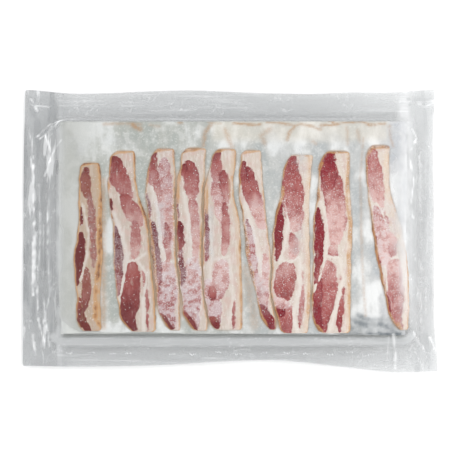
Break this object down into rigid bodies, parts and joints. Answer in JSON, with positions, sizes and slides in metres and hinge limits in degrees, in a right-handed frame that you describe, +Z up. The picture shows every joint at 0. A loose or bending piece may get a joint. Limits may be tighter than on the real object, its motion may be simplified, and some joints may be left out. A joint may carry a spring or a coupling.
{
  "type": "bacon pack",
  "caption": "Flat sealed pack of streaky bacon: rashers side by side on a parchment-lined stack, under clear film with a wide flange all round.",
  "frame": {"origin": "on the ground under the middle of the pack's outline", "axes": "+X along the pack's length, +Y away from the viewer's side, +Z up"},
  "size_m": [0.5078, 0.3542, 0.0408],
  "materials": {
    "clear_film": "clear glossy packing film",
    "parchment": "greaseproof parchment, frosted and damp",
    "bacon": "cold cured pork, pink lean and pale fat"
  },
  "bodies": {
    "root": {"bag": "clear_film", "liner_sheet": "parchment", "bacon_strip_1": "bacon", "bacon_strip_2": "bacon", "bacon_strip_3": "bacon", "bacon_strip_4": "bacon", "bacon_strip_5": "bacon", "bacon_strip_6": "bacon", "bacon_strip_7": "bacon", "bacon_strip_8": "bacon", "bacon_strip_9": "bacon"}
  },
  "joints": []
}
